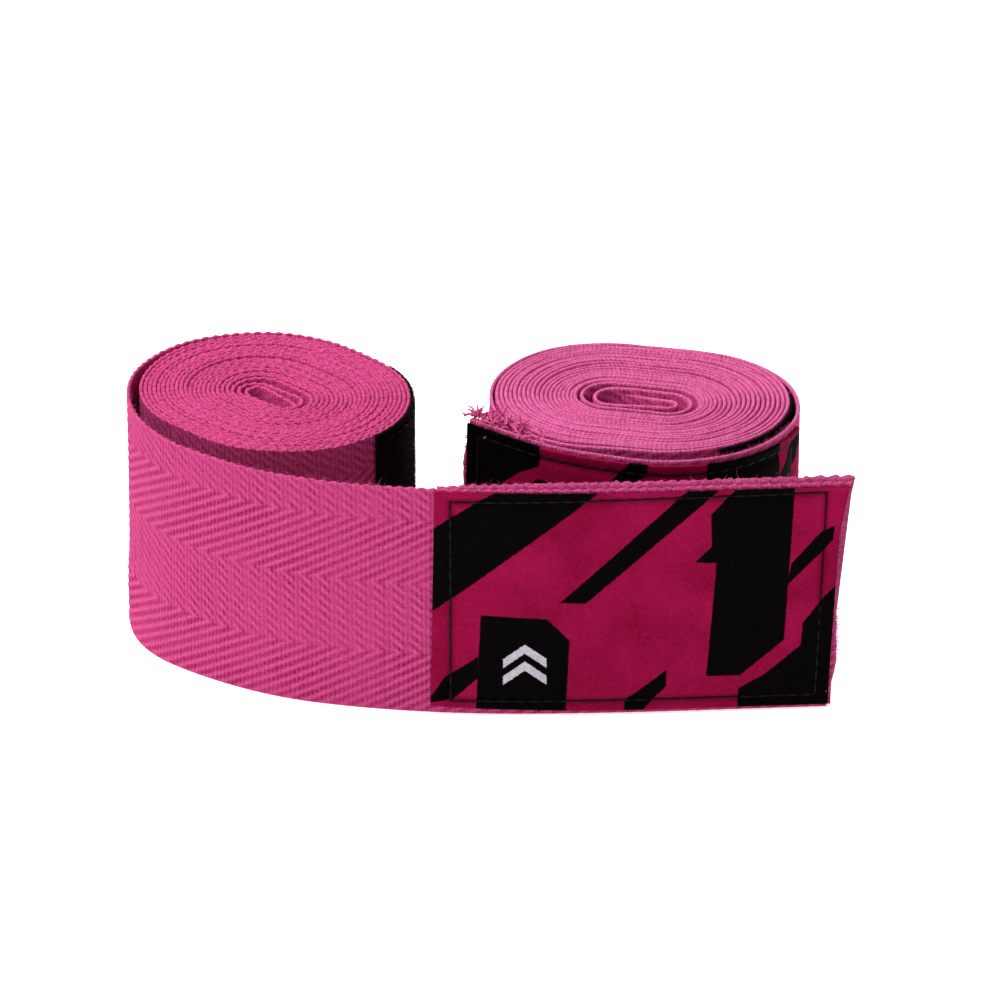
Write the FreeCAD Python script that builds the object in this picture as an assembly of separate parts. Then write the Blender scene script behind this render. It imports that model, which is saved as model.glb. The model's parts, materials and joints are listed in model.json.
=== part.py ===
import FreeCAD, Part
import math
import os

# A pair of boxing hand wraps, each one long herringbone tape standing on its edge.
# The open wrap has its outer turn loose: a tail runs round the front and ends in a labelled tab.
# The closed wrap is the same product turned upside down, rolled up to its labelled tab.
# Lengths are millimetres, angles are degrees, +Z is up, and a tape's path starts at its inner end.

# ---- the tape ----
TAPE_WIDTH = 50.0
TAPE_THICKNESS = 0.76
TURN_CLEARANCE = 0.14       # between the faces of neighbouring wound turns
WOUND_PITCH = TAPE_THICKNESS + TURN_CLEARANCE
FOLD_GAP = 2.0              # bare width left at a fold line, so that the two sides can swing

# ---- the thumb loop, wound in with the innermost turns ----
LOOP_TAPE_WIDTH = 20.0
LOOP_TAPE_THICKNESS = 0.5
LOOP_FLAT_LENGTH = 38.0
LOOP_INNER_GAP = 0.2
LOOP_START = 2.0            # from the tape's inner end
LOOP_CLEARANCE = 0.1
LOOP_HALF_TURNS = 4         # half turns that are spaced out to hold the loop
BARTACK_LENGTH = 7.0
BARTACK_ROWS = 3

# ---- the label, and the loop patch behind it ----
LABEL_LENGTH = 78.0
LABEL_EDGE_MARGIN = 0.5     # from the tape's edges
LABEL_HEIGHT = TAPE_WIDTH - 2 * LABEL_EDGE_MARGIN
LABEL_THICKNESS = 0.45
LABEL_FROM_FOLD = 1.3
TAB_END_MARGIN = 3.0        # bare cut end of the tape beyond the label
LOOP_PATCH_THICKNESS = 1.3
LOOP_PATCH_MARGIN = 1.5     # from the label's ends and from the tape's edges

# ---- the hook patch, on the outer wound turn ----
HOOK_LENGTH = 34.0
HOOK_EDGE_MARGIN = 0.5      # from the tape's edges
HOOK_HEIGHT = TAPE_WIDTH - 2 * HOOK_EDGE_MARGIN
HOOK_THICKNESS = 1.1
HOOK_TO_LABEL = 158.0       # along the tape, from the patch's outer end to the label

# ---- sewing thread ----
THREAD_WIDTH = 0.45
THREAD_PROUD = 0.16
STITCH_PITCH = 3.0
STITCH_LENGTH = 2.3
LABEL_SEAM_INSET = 2.8
HOOK_SEAM_INSET = 2.2

# ---- the open wrap ----
LABEL_LENGTH_TO_OPEN_CENTRE = 32.4     # a longer label moves the open roll further to the left
OPEN_CENTRE = (LABEL_LENGTH_TO_OPEN_CENTRE - LABEL_LENGTH, 0.0)
OPEN_EYE_SPAN = 7.5         # straight run across the flattened eye
OPEN_EYE_RADIUS = 1.2
OPEN_EYE_TURN = -45.0
OPEN_HALF_TURNS = 47
OPEN_LOOSE_EXTRA = 0.9      # added to the last bend's radius, so it stands off the roll
OPEN_LOOSE_TURN = 130.0     # turned by the last bend, round the back and the left
OPEN_HINGE_TURN = 22.0      # turned by the tape between the tail's hinge and that bend's end
OPEN_TAIL_BENDS = ((31.0, 50.0), (34.0, 31.0), (20.6, 8.0))   # lengths and turns to the label fold
OPEN_TAB_BENDS = ((22.0, 7.0), (30.0, 3.0))

# ---- the closed wrap ----
CLOSED_CENTRE = (27.8, -2.8)
CLOSED_EYE_SPAN = 11.5
CLOSED_EYE_RADIUS = 1.9
CLOSED_EYE_TURN = 13.0
CLOSED_HALF_TURNS = 44
CLOSED_STEP_OUT = 1.0       # longer back run, which carries the last half turn over the hook patch
CLOSED_OVERLAP_RELIEF = 0.4  # of the hook and loop patches' thickness that the longer back run clears
CLOSED_LOOSE_EXTRA = HOOK_THICKNESS + LOOP_PATCH_THICKNESS - CLOSED_OVERLAP_RELIEF
CLOSED_HINGE_TURN = 90.0
CLOSED_TAB_BENDS = ((12.0, 9.0), (14.0, 16.0))


class TapePath:
    """The tape's centre line in plan: straight runs and arcs that meet without a corner."""

    def __init__(self, start, heading):
        self.spans = []
        self.length = 0.0
        self.point = start
        self.heading = math.radians(heading)

    def add(self, length, turn=0.0):
        """Goes on by a length, turning left by an angle that may be negative."""
        self.spans.append((self.length, length, math.radians(turn), self.point, self.heading))
        self.length += length
        self.point, self.heading = self.walk(self.spans[-1], length)

    def half_turn(self, radius):
        self.add(math.pi * radius, 180.0)

    @staticmethod
    def walk(span, distance):
        """The point and heading at a distance along one span."""
        _, length, turn, (x, y), heading = span
        if turn == 0.0:
            return (x + distance * math.cos(heading), y + distance * math.sin(heading)), heading
        radius = length / turn
        new_heading = heading + turn * distance / length
        return (
            x + radius * (math.sin(new_heading) - math.sin(heading)),
            y - radius * (math.cos(new_heading) - math.cos(heading)),
        ), new_heading

    def place(self, s, offset=0.0):
        """The point at s along the path, moved outwards by an offset."""
        for span in self.spans:
            if s <= span[0] + span[1] or span is self.spans[-1]:
                (x, y), heading = self.walk(span, s - span[0])
                return FreeCAD.Vector(x + offset * math.sin(heading), y - offset * math.cos(heading), 0)

    def edges(self, first, last, offset):
        """Edges of the line that runs beside the path at an offset."""
        found = []
        for start, length, turn, _, _ in self.spans:
            a = max(first, start)
            b = min(last, start + length)
            if b - a < 1e-6:
                continue
            ends = self.place(a + 1e-9, offset), self.place(b - 1e-9, offset)
            if turn == 0.0:
                found.append(Part.makeLine(*ends))
            else:
                middle = self.place((a + b) / 2, offset)
                found.append(Part.Arc(ends[0], middle, ends[1]).toShape())
        return found

    def strip(self, first, last, inner, outer, bottom, top):
        """A solid band along the path, between two offsets and two heights."""
        outside = self.edges(first, last, outer)
        inside = self.edges(first, last, inner)
        caps = [
            Part.makeLine(self.place(first, inner), self.place(first, outer)),
            Part.makeLine(self.place(last, inner), self.place(last, outer)),
        ]
        face = Part.Face(Part.Wire(Part.__sortEdges__(outside + inside + caps)))
        face.translate(FreeCAD.Vector(0, 0, bottom))
        return face.extrude(FreeCAD.Vector(0, 0, top - bottom))


def wound_path(eye_span, eye_radius, eye_turn, half_turns):
    """A flattened spiral about the origin: straight runs joined by growing half turns."""
    turn = math.radians(eye_turn)
    start = (
        -eye_span / 2 * math.cos(turn) + eye_radius * math.sin(turn),
        -eye_span / 2 * math.sin(turn) - eye_radius * math.cos(turn),
    )
    path = TapePath(start, eye_turn)
    loop_room = 2 * LOOP_TAPE_THICKNESS + LOOP_INNER_GAP + LOOP_CLEARANCE
    radius = eye_radius
    for count in range(half_turns):
        path.add(eye_span)
        path.half_turn(radius)
        radius += WOUND_PITCH / 2
        if count < LOOP_HALF_TURNS:
            radius += loop_room / 2
    return path, radius


def open_path():
    """The open wrap's tape: wound, then loose round the left side, then the tail and the tab."""
    path, radius = wound_path(OPEN_EYE_SPAN, OPEN_EYE_RADIUS, OPEN_EYE_TURN, OPEN_HALF_TURNS)
    path.add(OPEN_EYE_SPAN)
    loose_radius = radius + OPEN_LOOSE_EXTRA
    path.add(loose_radius * math.radians(OPEN_LOOSE_TURN), OPEN_LOOSE_TURN)
    hinge = path.length - loose_radius * math.radians(OPEN_HINGE_TURN)
    for length, turn in OPEN_TAIL_BENDS:
        path.add(length, turn)
    fold = path.length
    add_tab(path, fold, OPEN_TAB_BENDS)
    return path, hinge, fold


def closed_path():
    """The closed wrap's tape: wound, then over the hook patch and round the front to its tab."""
    path, radius = wound_path(CLOSED_EYE_SPAN, CLOSED_EYE_RADIUS, CLOSED_EYE_TURN, CLOSED_HALF_TURNS)
    path.add(CLOSED_EYE_SPAN + CLOSED_STEP_OUT)
    loose_radius = radius + CLOSED_LOOSE_EXTRA
    path.half_turn(loose_radius)
    hinge = path.length - loose_radius * math.radians(CLOSED_HINGE_TURN)
    add_tab(path, hinge, CLOSED_TAB_BENDS)
    return path, hinge


def tab_length():
    return FOLD_GAP / 2 + LABEL_FROM_FOLD + LABEL_LENGTH + TAB_END_MARGIN


def add_tab(path, fold, bends):
    """Goes on through the bends, then straight to the tab's cut end."""
    for length, turn in bends:
        path.add(length, turn)
    path.add(fold + tab_length() - path.length)


def seam_row(path, first, last, height, face, proud):
    """Stitches in a row along the tape, lying on the face at an offset."""
    count = int((last - first) / STITCH_PITCH)
    spacing = (last - first) / count
    margin = (spacing - STITCH_LENGTH) / 2
    half = THREAD_WIDTH / 2
    offsets = sorted((face, face + proud))
    return [
        path.strip(first + i * spacing + margin, first + i * spacing + margin + STITCH_LENGTH,
                   offsets[0], offsets[1], height - half, height + half)
        for i in range(count)
    ]


def seam_column(path, s, bottom, top, face, proud):
    """Stitches in a column across the tape, lying on the face at an offset."""
    count = int((top - bottom) / STITCH_PITCH)
    spacing = (top - bottom) / count
    margin = (spacing - STITCH_LENGTH) / 2
    half = THREAD_WIDTH / 2
    offsets = sorted((face, face + proud))
    return [
        path.strip(s - half, s + half, offsets[0], offsets[1],
                   bottom + i * spacing + margin, bottom + i * spacing + margin + STITCH_LENGTH)
        for i in range(count)
    ]


def seam_box(path, first, last, bottom, top, face, proud):
    """A rectangle of stitches."""
    corner = THREAD_WIDTH
    stitches = seam_row(path, first + corner, last - corner, bottom, face, proud)
    stitches += seam_row(path, first + corner, last - corner, top, face, proud)
    stitches += seam_column(path, first, bottom + corner, top - corner, face, proud)
    stitches += seam_column(path, last, bottom + corner, top - corner, face, proud)
    return stitches


def webbing(path, first, last):
    half = TAPE_THICKNESS / 2
    return path.strip(first, last, -half, half, 0, TAPE_WIDTH)


def centred(height):
    """The bottom and top of something centred on the tape's width."""
    return (TAPE_WIDTH - height) / 2, (TAPE_WIDTH + height) / 2


def label_pieces(path, fold):
    """The woven label on the tab's outer face, the loop patch behind it, and the seam through both."""
    half = TAPE_THICKNESS / 2
    first = fold + FOLD_GAP / 2 + LABEL_FROM_FOLD
    last = first + LABEL_LENGTH
    bottom, top = centred(LABEL_HEIGHT)
    label = path.strip(first, last, half, half + LABEL_THICKNESS, bottom, top)
    margin = LOOP_PATCH_MARGIN
    patch_back = -half - LOOP_PATCH_THICKNESS
    patch = path.strip(first + margin, last - margin, patch_back, -half, margin, TAPE_WIDTH - margin)
    inset = LABEL_SEAM_INSET
    box = first + inset, last - inset, bottom + inset, top - inset
    seam = seam_box(path, *box, half + LABEL_THICKNESS, THREAD_PROUD)
    seam += seam_box(path, *box, patch_back, -THREAD_PROUD)
    return {"woven_label": label, "loop_patch": patch, "label_stitching": Part.Compound(seam)}


def hook_pieces(path, fold):
    """The hook patch on the outside of the outer wound turn, and its seam."""
    face = TAPE_THICKNESS / 2
    last = fold + FOLD_GAP / 2 + LABEL_FROM_FOLD - HOOK_TO_LABEL
    first = last - HOOK_LENGTH
    bottom, top = centred(HOOK_HEIGHT)
    patch = path.strip(first, last, face, face + HOOK_THICKNESS, bottom, top)
    inset = HOOK_SEAM_INSET
    seam = seam_box(path, first + inset, last - inset, bottom + inset, top - inset,
                    face + HOOK_THICKNESS, THREAD_PROUD)
    return {"hook_patch": patch, "hook_patch_stitching": Part.Compound(seam)}


def thumb_loop_pieces(path):
    """The thumb loop, a narrow tape folded flat on the outside of the first turns, and its bartack."""
    near = TAPE_THICKNESS / 2
    middle = near + LOOP_TAPE_THICKNESS
    far = middle + LOOP_INNER_GAP + LOOP_TAPE_THICKNESS
    last = LOOP_START + LOOP_FLAT_LENGTH
    bottom, top = centred(LOOP_TAPE_WIDTH)
    loop = path.strip(LOOP_START, last, near, middle, bottom, top)
    loop = loop.fuse(path.strip(LOOP_START, last, far - LOOP_TAPE_THICKNESS, far, bottom, top))
    loop = loop.fuse(path.strip(last - LOOP_TAPE_THICKNESS, last, near, far, bottom, top))
    loop = loop.removeSplitter()
    rows = []
    for row in range(BARTACK_ROWS):
        height = TAPE_WIDTH / 2 + (row - (BARTACK_ROWS - 1) / 2) * LOOP_TAPE_WIDTH / BARTACK_ROWS
        rows += seam_row(path, LOOP_START, LOOP_START + BARTACK_LENGTH, height, -near, -THREAD_PROUD)
    return {"thumb_loop": loop, "thumb_loop_bartack": Part.Compound(rows)}


def common_pieces(path, fold):
    pieces = label_pieces(path, fold)
    pieces.update(hook_pieces(path, fold))
    pieces.update(thumb_loop_pieces(path))
    return pieces


def stand(shape, placement):
    moved = shape.copy()
    moved.Placement = placement.multiply(moved.Placement)
    return moved


open_tape, open_hinge, open_fold = open_path()
closed_tape, closed_hinge = closed_path()
half_gap = FOLD_GAP / 2

open_pieces = {
    "rolled_webbing": webbing(open_tape, 0, open_hinge - half_gap),
    "tail_webbing": webbing(open_tape, open_hinge + half_gap, open_fold - half_gap),
    "tab_webbing": webbing(open_tape, open_fold + half_gap, open_tape.length),
}
open_pieces.update(common_pieces(open_tape, open_fold))
closed_pieces = {
    "rolled_webbing": webbing(closed_tape, 0, closed_hinge - half_gap),
    "tab_webbing": webbing(closed_tape, closed_hinge + half_gap, closed_tape.length),
}
closed_pieces.update(common_pieces(closed_tape, closed_hinge))

open_place = FreeCAD.Placement(FreeCAD.Vector(*OPEN_CENTRE, 0), FreeCAD.Rotation())
upside_down = FreeCAD.Rotation(FreeCAD.Vector(1, 0, 0), 180)
closed_place = FreeCAD.Placement(FreeCAD.Vector(*CLOSED_CENTRE, TAPE_WIDTH), upside_down)
parts = {"open_wrap_" + name: stand(shape, open_place) for name, shape in open_pieces.items()}
parts.update({"closed_wrap_" + name: stand(shape, closed_place) for name, shape in closed_pieces.items()})

# The origin is the middle of the pair's footprint, on the surface that both wraps stand on.
box = Part.Compound(list(parts.values())).BoundBox
shift = FreeCAD.Vector(-box.Center.x, -box.Center.y, -box.ZMin)

os.makedirs("parts", exist_ok=True)
for name, shape in parts.items():
    shape.translate(shift)
    shape.exportStep("parts/" + name + ".step")
    print("%-36s solids %3d volume %9.1f valid %s" % (name, len(shape.Solids), shape.Volume, shape.isValid()))

print("size %.1f x %.1f x %.1f" % (box.XLength, box.YLength, box.ZLength))
print("tape lengths %.0f and %.0f" % (open_tape.length, closed_tape.length))
for name, path, s, place in (
    ("tail hinge", open_tape, open_hinge, open_place),
    ("label fold", open_tape, open_fold, open_place),
    ("closed label hinge", closed_tape, closed_hinge, closed_place),
    ("open base point", open_tape, open_hinge - 30, open_place),
    ("closed base point", closed_tape, closed_hinge - 60, closed_place),
    ("open hook face", open_tape, open_fold - HOOK_TO_LABEL - HOOK_LENGTH / 2, open_place),
    ("closed hook face", closed_tape, closed_hinge - HOOK_TO_LABEL - HOOK_LENGTH / 2, closed_place),
    ("open tape start", open_tape, 0, open_place),
    ("closed tape start", closed_tape, 0, closed_place),
    ("open tab end", open_tape, open_tape.length, open_place),
    ("closed tab end", closed_tape, closed_tape.length, closed_place),
):
    point = place.multVec(path.place(s)) + shift
    print("%-20s x %.2f y %.2f (unshifted %.2f %.2f)" % (
        name, point.x, point.y, point.x - shift.x, point.y - shift.y))
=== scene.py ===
# %% [markdown]
# # A pair of boxing hand wraps
# Each wrap is one long cotton tape, woven in a herringbone and wound into a roll that stands on its
# edge. One wrap is closed. The other is open: its outer turn hangs loose and ends in a labelled tab.
# The lesson makes every piece flat, as it comes off the loom or the cutting table, and then lays it
# along the line that the tape follows, so that what is sewn on always stays on the cloth.

# %% Load the frame
import json
import math
import bpy
import numpy as np
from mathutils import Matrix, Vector


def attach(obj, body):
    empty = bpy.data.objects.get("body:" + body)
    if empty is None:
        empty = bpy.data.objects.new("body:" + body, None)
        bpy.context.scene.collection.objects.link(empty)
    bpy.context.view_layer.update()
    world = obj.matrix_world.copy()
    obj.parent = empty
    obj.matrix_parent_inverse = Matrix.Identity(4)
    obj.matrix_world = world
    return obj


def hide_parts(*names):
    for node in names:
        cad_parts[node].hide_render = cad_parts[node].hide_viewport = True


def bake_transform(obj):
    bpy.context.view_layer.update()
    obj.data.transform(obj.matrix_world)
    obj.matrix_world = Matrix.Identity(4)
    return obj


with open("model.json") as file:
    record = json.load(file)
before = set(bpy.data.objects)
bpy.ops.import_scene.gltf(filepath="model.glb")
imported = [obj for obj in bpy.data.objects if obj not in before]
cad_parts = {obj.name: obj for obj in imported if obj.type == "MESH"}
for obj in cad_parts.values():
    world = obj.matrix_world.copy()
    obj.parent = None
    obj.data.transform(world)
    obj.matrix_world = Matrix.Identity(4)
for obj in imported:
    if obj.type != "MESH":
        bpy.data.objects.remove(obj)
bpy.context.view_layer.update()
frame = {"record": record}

joint_place = {j["name"]: j.get("pos_m") for j in frame["record"]["behaviour"]["joints"]}
MM = 0.001

# %% [markdown]
# ## Camera, light and floor
# Something this small is best seen from far off through a long lens, which keeps the two rolls the same
# size. The light is one broad softbox overhead and a pale room, so shadows stay faint.

# %% Camera
scene = bpy.context.scene
LENS, SENSOR_WIDTH = 288.0, 36.0                    # in millimetres
CAMERA_DISTANCE = 1.626
CAMERA_ELEVATION = math.radians(26.5)
HINGE_TO_MIDDLE = Vector((0.0722, -0.0134, 0.0))    # from the tail's hinge to the middle of the view
look_at = Vector(joint_place["tail_swing"]) + HINGE_TO_MIDDLE
camera_data = bpy.data.cameras.new("camera")
camera_data.lens = LENS
camera_data.sensor_width = SENSOR_WIDTH
camera = bpy.data.objects.new("camera", camera_data)
scene.collection.objects.link(camera)
away = Vector((0.0, -math.cos(CAMERA_ELEVATION), math.sin(CAMERA_ELEVATION)))
camera.location = look_at + CAMERA_DISTANCE * away
camera.rotation_euler = (math.pi / 2 - CAMERA_ELEVATION, 0.0, 0.0)
scene.camera = camera
scene.view_settings.view_transform = "Standard"
print("camera:", CAMERA_DISTANCE, "m away,", LENS, "mm lens")

# %% Floor and room
FLOOR_GLOW, ROOM_LIGHT = 0.62, 0.46
bpy.ops.object.select_all(action="DESELECT")
bpy.ops.mesh.primitive_plane_add(size=6.0, location=(0, 0, 0))
floor = bpy.context.object
floor.name = "studio_floor"
floor_paint = bpy.data.materials.new("studio_white")
floor_paint.use_nodes = True
floor_shader = floor_paint.node_tree.nodes["Principled BSDF"].inputs
floor_shader["Base Color"].default_value = (0.93, 0.93, 0.93, 1)
floor_shader["Roughness"].default_value = 0.9
floor_shader["Emission Color"].default_value = (1, 1, 1, 1)
floor_shader["Emission Strength"].default_value = FLOOR_GLOW
floor.data.materials.append(floor_paint)

world = bpy.data.worlds.new("pale_room")
world.use_nodes = True
room = world.node_tree.nodes["Background"].inputs
room["Color"].default_value = (1, 1, 1, 1)
room["Strength"].default_value = ROOM_LIGHT
scene.world = world
print("floor and room: strengths", FLOOR_GLOW, "and", ROOM_LIGHT)


# %% Softboxes
def softbox(name, place, size, watts):
    light_data = bpy.data.lights.new(name, "AREA")
    light_data.energy = watts
    light_data.shape = "RECTANGLE"
    light_data.size, light_data.size_y = size
    light = bpy.data.objects.new(name, light_data)
    scene.collection.objects.link(light)
    light.location = place
    light.rotation_euler = (look_at - Vector(place)).to_track_quat("-Z", "Y").to_euler()


softbox("overhead_softbox", (-0.30, 0.10, 0.75), (0.6, 0.5), 9.6)
softbox("front_softbox", (-0.55, -0.7, 0.45), (0.5, 0.5), 1.0)
print("softboxes:", len(bpy.data.lights))

# %% [markdown]
# ## The line of the tape
# Seen from above, each tape is one continuous line: a flattened spiral of straight runs and half turns,
# then a looser last turn, then the tail or tab. The sizes are those the frame was designed with, and the
# joints in the frame say where each line goes. The line could be a curve object, but a formula gives the
# exact place of any stitch at once, and two turns that lie a tenth of a millimetre apart never cross.

# %% Sizes of the tape, in millimetres
TAPE_WIDTH = 50.0
TAPE_HALF = 0.40            # half the thickness of the cloth; the frame's tape is a little thinner
WOUND_PITCH = 0.90
LOOP_ROOM = 1.3             # extra room between the first turns, for the thumb loop
LOOP_HALF_TURNS = 4
HALF_GAP = 1.0              # half of the bare width at a fold
LABEL_FROM_FOLD = 1.3
LABEL_LENGTH = 78.0
LABEL_HEIGHT = 49.0
TAB_END_MARGIN = 3.0
OPEN_EYE = (7.5, 1.2, -45.0)            # length of the eye's runs, its first radius, and how far it is turned
CLOSED_EYE = (11.5, 1.9, 13.0)
OPEN_HALF_TURNS, CLOSED_HALF_TURNS = 47, 44
OPEN_LOOSENESS, CLOSED_LOOSENESS = 0.9, 2.0     # how much wider the last turn is than the roll
print("tape:", TAPE_WIDTH, "mm wide, wound at", WOUND_PITCH, "mm to a turn")


# %% The line of runs and arcs
class TapeLine:
    """The tape's centre line in plan: straight runs and arcs that meet without a corner."""

    def __init__(self, start, heading):
        self.spans = []
        self.length = 0.0
        self.end = start
        self.heading = math.radians(heading)

    def add(self, length, turn=0.0):
        self.spans.append((self.length, length, math.radians(turn), *self.end, self.heading))
        self.length += length
        x, y, heading = self.walk(np.array([self.length]))
        self.end, self.heading = (float(x[0]), float(y[0])), float(heading[0])

    def walk(self, s):
        """Points and headings at distances along the line."""
        table = np.array(self.spans)
        index = np.searchsorted(table[:, 0], s, side="right") - 1
        index = np.clip(index, 0, len(table) - 1)
        start, length, turn, x, y, heading = table[index].T
        turn = np.where(np.abs(turn) < 1e-9, 1e-9, turn)
        now = heading + turn * (s - start) / length
        radius = length / turn
        return x + radius * (np.sin(now) - np.sin(heading)), y - radius * (np.cos(now) - np.cos(heading)), now


def wound_line(eye_span, eye_radius, eye_turn, half_turns):
    """A flattened spiral about the roll's middle, and the radius that it has reached."""
    turn = math.radians(eye_turn)
    line = TapeLine((
        -eye_span / 2 * math.cos(turn) + eye_radius * math.sin(turn),
        -eye_span / 2 * math.sin(turn) - eye_radius * math.cos(turn),
    ), eye_turn)
    radius = eye_radius
    for count in range(half_turns):
        line.add(eye_span)
        line.add(math.pi * radius, 180.0)
        radius += WOUND_PITCH / 2
        if count < LOOP_HALF_TURNS:
            radius += LOOP_ROOM / 2
    return line, radius


def add_tab(line, fold, bends):
    for length, turn in bends:
        line.add(length, turn)
    line.add(fold + HALF_GAP + LABEL_FROM_FOLD + LABEL_LENGTH + TAB_END_MARGIN - line.length)


# %% [markdown]
# ## The two wraps
# The open wrap's line leaves the roll at the back left and comes round to the front. The closed wrap is
# the same product turned upside down, so it winds the other way. A small class keeps the line, the places
# along it and the turn upside down together, and stands any flat piece in its place.

# %% Stand flat pieces on a wrap
class Wrap:
    """One wrap: flat pieces made at (along, out, up) in millimetres are stood along its line."""

    def __init__(self, name, line, hinge, fold, hinge_joint, upside_down):
        self.name = name
        self.line = line
        self.hinge = hinge
        self.fold = fold
        self.upside_down = upside_down
        self.ease = None
        self.shift = np.zeros(2)
        here = self.stand(np.array([[hinge, 0.0, 0.0]]))[0, :2]
        self.shift = np.array(joint_place[hinge_joint][:2]) - here

    def stand(self, flat):
        """Frame positions in metres of flat points."""
        x, y, heading = self.line.walk(flat[:, 0])
        out = flat[:, 1] + (self.ease(flat[:, 0], heading) if self.ease else 0.0)
        x = x + out * np.sin(heading)
        y = y - out * np.cos(heading)
        z = flat[:, 2]
        if self.upside_down:
            y, z = -y, TAPE_WIDTH - z
        return np.column_stack([x * MM + self.shift[0], y * MM + self.shift[1], z * MM])

    @property
    def label_start(self):
        return self.fold + HALF_GAP + LABEL_FROM_FOLD


# %% The line of each wrap
open_line, reached = wound_line(*OPEN_EYE, OPEN_HALF_TURNS)
open_line.add(OPEN_EYE[0])
loose_radius = reached + OPEN_LOOSENESS
open_line.add(loose_radius * math.radians(130.0), 130.0)
open_hinge = open_line.length - loose_radius * math.radians(22.0)
for run, bend in ((31.0, 50.0), (34.0, 31.0), (20.6, 8.0)):
    open_line.add(run, bend)
open_fold = open_line.length
add_tab(open_line, open_fold, ((22.0, 7.0), (30.0, 3.0)))
open_wrap = Wrap("open_wrap", open_line, open_hinge, open_fold, "tail_swing", False)

closed_line, reached = wound_line(*CLOSED_EYE, CLOSED_HALF_TURNS)
closed_line.add(CLOSED_EYE[0] + 1.0)
loose_radius = reached + CLOSED_LOOSENESS
closed_line.add(math.pi * loose_radius, 180.0)
closed_hinge = closed_line.length - loose_radius * math.radians(90.0)
add_tab(closed_line, closed_hinge, ((12.0, 9.0), (14.0, 16.0)))
closed_wrap = Wrap("closed_wrap", closed_line, closed_hinge, closed_hinge, "closed_label_peel", True)
HUG_OUT, HUG_IN = 1.15, 0.25            # how far the wound turns move out, and the last one in


def hug(s, heading):
    """On the right of the closed roll the turns lie out against the last one, which was pulled tight."""
    rising = np.clip((s - (closed_hinge - 85.0)) / 40.0, 0, 1)
    falling = np.clip(((closed_hinge + 52.0) - s) / 34.0, 0, 1)
    last = np.minimum(rising, falling)
    wound = HUG_OUT * np.clip((s - 400.0) / 1800.0, 0, 1) * np.clip(np.sin(heading), 0, 1) ** 1.5
    return np.where(s > closed_hinge, 0, wound * (1 - rising)) - HUG_IN * last


closed_wrap.ease = hug

for wrap in (open_wrap, closed_wrap):
    end = wrap.stand(np.array([[wrap.line.length, 0, 0]]))[0] / MM
    print(wrap.name, "tape", round(wrap.line.length), "mm, tab ends at", end.round(1))

# %% [markdown]
# ## Helpers for meshes
# A band of cloth is a grid primitive bent round its own section: rows run along the tape, columns go
# round its edge, so one grid makes both faces and both selvedges. Its seam is merged and its ends filled.
# The map called tape keeps each point's place on the flat cloth, which is what the weave follows.

# %% Mesh helpers
def points_of(piece):
    co = np.empty(len(piece.data.vertices) * 3)
    piece.data.vertices.foreach_get("co", co)
    return co.reshape(-1, 3)


def move_points(piece, co):
    piece.data.vertices.foreach_set("co", np.ascontiguousarray(co, dtype=np.float64).ravel())
    piece.data.update()


def edit(piece):
    """Puts one piece in edit mode with all of it selected."""
    bpy.ops.object.select_all(action="DESELECT")
    bpy.context.view_layer.objects.active = piece
    piece.select_set(True)
    bpy.ops.object.mode_set(mode="EDIT")
    bpy.ops.mesh.select_all(action="SELECT")


def done():
    bpy.ops.object.mode_set(mode="OBJECT")


# %% A flat band
def flat_band(name, first, last, step, section):
    """A closed band from first to last along the tape, with the given section of (out, up) points."""
    along = max(2, round((last - first) / step))
    around = len(section)
    bpy.ops.object.select_all(action="DESELECT")
    bpy.ops.mesh.primitive_grid_add(x_subdivisions=along, y_subdivisions=around, size=2)
    piece = bpy.context.object
    piece.name = piece.data.name = name
    co = points_of(piece)
    ring = np.vstack([section, section[:1]])
    way = (co[:, 1] + 1) / 2 * around
    count = np.arange(around + 1)
    move_points(piece, np.column_stack([
        first + (co[:, 0] + 1) / 2 * (last - first),
        np.interp(way, count, ring[:, 0]),
        np.interp(way, count, ring[:, 1]),
    ]))
    edit(piece)
    bpy.ops.mesh.remove_doubles(threshold=0.0005)
    bpy.ops.mesh.select_all(action="DESELECT")
    bpy.ops.mesh.select_mode(type="EDGE")
    bpy.ops.mesh.select_non_manifold()
    bpy.ops.mesh.fill_holes(sides=0)
    done()
    return piece


def cloth_map(piece):
    """The map called tape: millimetres along and across the flat cloth."""
    mesh = piece.data
    while mesh.uv_layers:
        mesh.uv_layers.remove(mesh.uv_layers[0])
    layer = mesh.uv_layers.new(name="tape")
    corner = np.empty(len(mesh.loops), dtype=np.int64)
    mesh.loops.foreach_get("vertex_index", corner)
    flat = points_of(piece)[corner]
    layer.data.foreach_set("uv", np.ascontiguousarray(flat[:, [0, 2]]).ravel())


# %% Stand and join
def stand(piece, wrap):
    """Stands a flat piece along a wrap's line. The flat axes are left-handed, so its faces are turned."""
    move_points(piece, wrap.stand(points_of(piece)))
    piece.data.flip_normals()
    piece.data.polygons.foreach_set("use_smooth", np.ones(len(piece.data.polygons), dtype=bool))
    piece.data.update()
    return piece


def join(name, pieces):
    bpy.ops.object.select_all(action="DESELECT")
    for piece in pieces:
        piece.select_set(True)
    bpy.context.view_layer.objects.active = pieces[0]
    if len(pieces) > 1:
        bpy.ops.object.join()
    pieces[0].name = pieces[0].data.name = name
    return pieces[0]


def section_of(outer_rows, inner_rows, half, bottom=0.0, top=TAPE_WIDTH, round_off=0.34):
    """A band's section: down the outer face, round the lower edge, up the inner face, round the top."""
    low, high = bottom + round_off, top - round_off
    outer = [(half, z) for z in np.linspace(high, low, outer_rows)]
    inner = [(-half, z) for z in np.linspace(low, high, inner_rows)]
    lower = [(half * 0.72, bottom + 0.09), (0.0, bottom), (-half * 0.72, bottom + 0.09)]
    upper = [(-half * 0.72, top - 0.09), (0.0, top), (half * 0.72, top - 0.09)]
    return np.array(outer + lower + inner + upper)


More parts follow.
